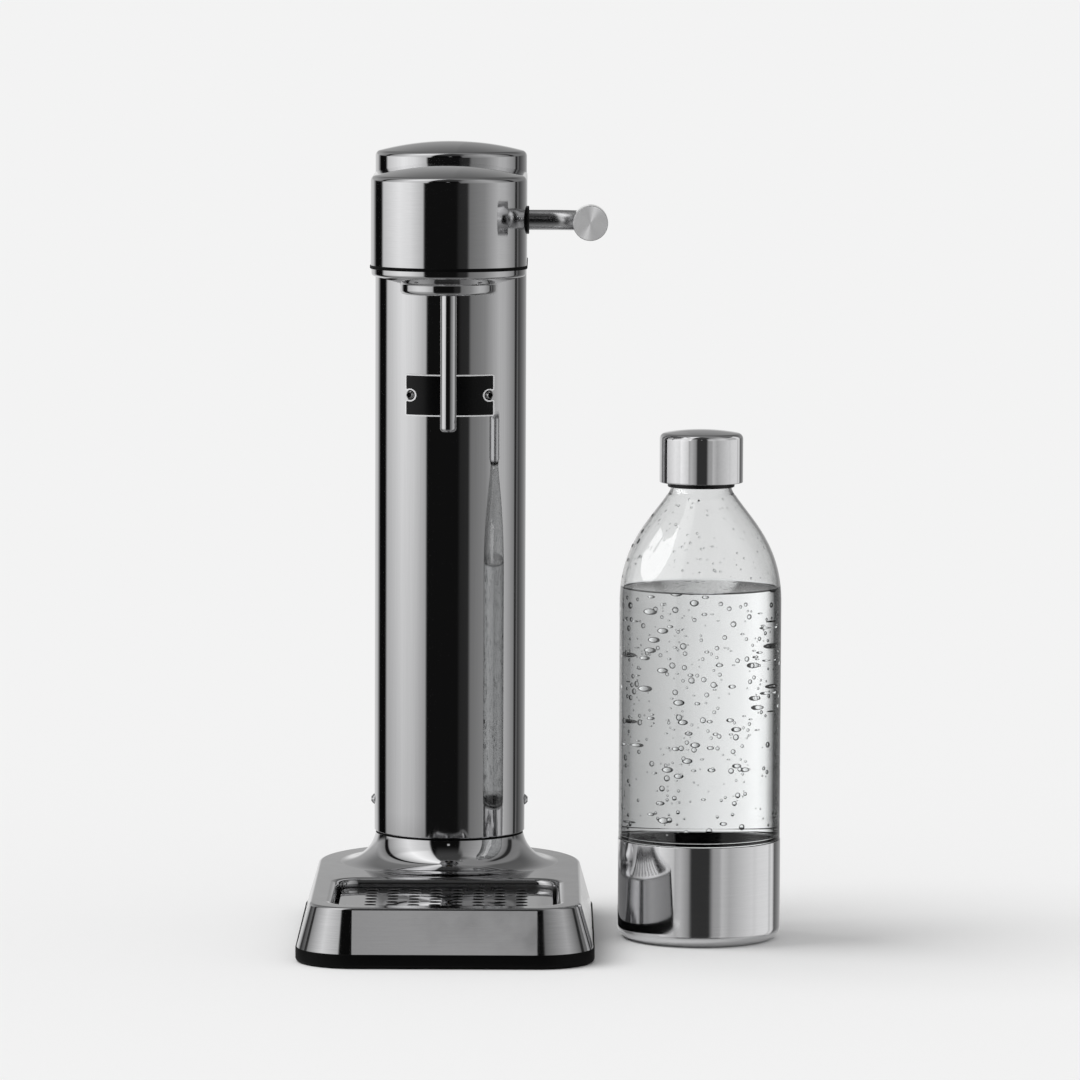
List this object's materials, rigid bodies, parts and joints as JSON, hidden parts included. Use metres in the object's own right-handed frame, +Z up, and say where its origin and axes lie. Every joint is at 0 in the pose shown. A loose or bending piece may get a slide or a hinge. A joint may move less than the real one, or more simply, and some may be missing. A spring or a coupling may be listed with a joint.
{
  "type": "sparkling water maker",
  "caption": "Polished steel countertop sparkling water maker with a side lever, drip tray, gas cylinder and a capped clear bottle.",
  "frame": {"origin": "on the floor at the middle of the foot's underside, halfway between its front and the end of its round back", "axes": "+Z up, -Y towards the front where the nozzle and the tray are, +X towards the lever and the bottle"},
  "size_m": [0.2505, 0.258, 0.414],
  "materials": {
    "polished_steel": "mirror polished stainless steel",
    "inner_steel": "plain sheet steel inside the machine",
    "black_rubber": "matt black moulded rubber",
    "black_plastic": "black moulded plastic",
    "black_plate": "satin black plate with a bare silver border",
    "brass": "turned brass",
    "cylinder_grey": "brushed aluminium gas cylinder",
    "clear_plastic": "clear glossy bottle plastic",
    "silicone": "pale silicone"
  },
  "bodies": {
    "machine": {"base_foot": "black_rubber", "base_plate": "inner_steel", "base_shell": "polished_steel", "drip_basin": "polished_steel", "column_sleeve": "inner_steel", "column_gasket": "black_rubber", "column_shell": "polished_steel", "column_screws": "polished_steel", "cylinder_guides": "black_plastic", "valve_carrier": "inner_steel", "valve_block": "black_plastic", "gas_pipe": "brass", "nozzle_block": "black_plastic", "nozzle_tube": "polished_steel", "nozzle_nut": "brass", "safety_valve": "brass", "head_frame": "inner_steel", "head_underside": "polished_steel", "head_seal": "black_rubber", "head_shell": "polished_steel", "bottle_collar": "polished_steel", "collar_seal": "silicone", "collar_screws": "inner_steel", "lever_bushing": "black_plastic", "lever_spring": "inner_steel", "rocker_pin": "inner_steel", "nameplate": "black_plate", "nameplate_screws": "polished_steel"},
    "drip_tray_plate": {"drip_grille": "polished_steel", "grille_legs": "black_plastic"},
    "lever": {"lever_arm": "polished_steel", "lever_knob": "polished_steel", "lever_cam": "brass", "lever_clip": "inner_steel"},
    "rocker_arm": {"rocker": "brass"},
    "valve_plunger": {"valve_pin": "inner_steel"},
    "gas_bottle": {"gas_cylinder": "cylinder_grey", "cylinder_valve": "brass"},
    "water_bottle": {"bottle_cup": "polished_steel", "bottle_body": "clear_plastic"},
    "bottle_closure": {"bottle_cap": "polished_steel", "cap_insert": "black_plastic", "cap_seal": "silicone"}
  },
  "joints": [
    {"name": "lever_turn", "type": "hinge", "parent": "machine", "child": "lever", "pos_m": [0, -0.0335, 0.376], "axis": [1, 0, 0], "range_deg": [0, 30], "stiffness_Nm_per_rad": 0.4, "springref_deg": -28.65},
    {"name": "rocker_tilt", "type": "hinge", "parent": "machine", "child": "rocker_arm", "pos_m": [0, 0.015, 0.3835], "axis": [1, 0, 0], "range_deg": [-7.5, 0]},
    {"name": "plunger_press", "type": "slide", "parent": "machine", "child": "valve_plunger", "axis": [0, 0, -1], "range_m": [0, 0.0049]},
    {"name": "plate_lift", "type": "slide", "parent": "machine", "child": "drip_tray_plate", "axis": [0, 0, 1], "range_m": [0, 0.12]},
    {"name": "cylinder_draw", "type": "slide", "parent": "machine", "child": "gas_bottle", "axis": [0, 0, 1], "range_m": [-0.36, 0]},
    {"name": "bottle_lift", "type": "slide", "parent": "machine", "child": "water_bottle", "axis": [0, 0, 1], "range_m": [0, 0.1]},
    {"name": "cap_lift", "type": "slide", "parent": "water_bottle", "child": "bottle_closure", "axis": [0, 0, 1], "range_m": [0, 0.05]}
  ],
  "couplings": [
    {"joint": "rocker_tilt", "follows": "lever_turn", "ratio": -0.25},
    {"joint": "plunger_press", "follows": "lever_turn", "m_per_rad": 0.00935}
  ]
}
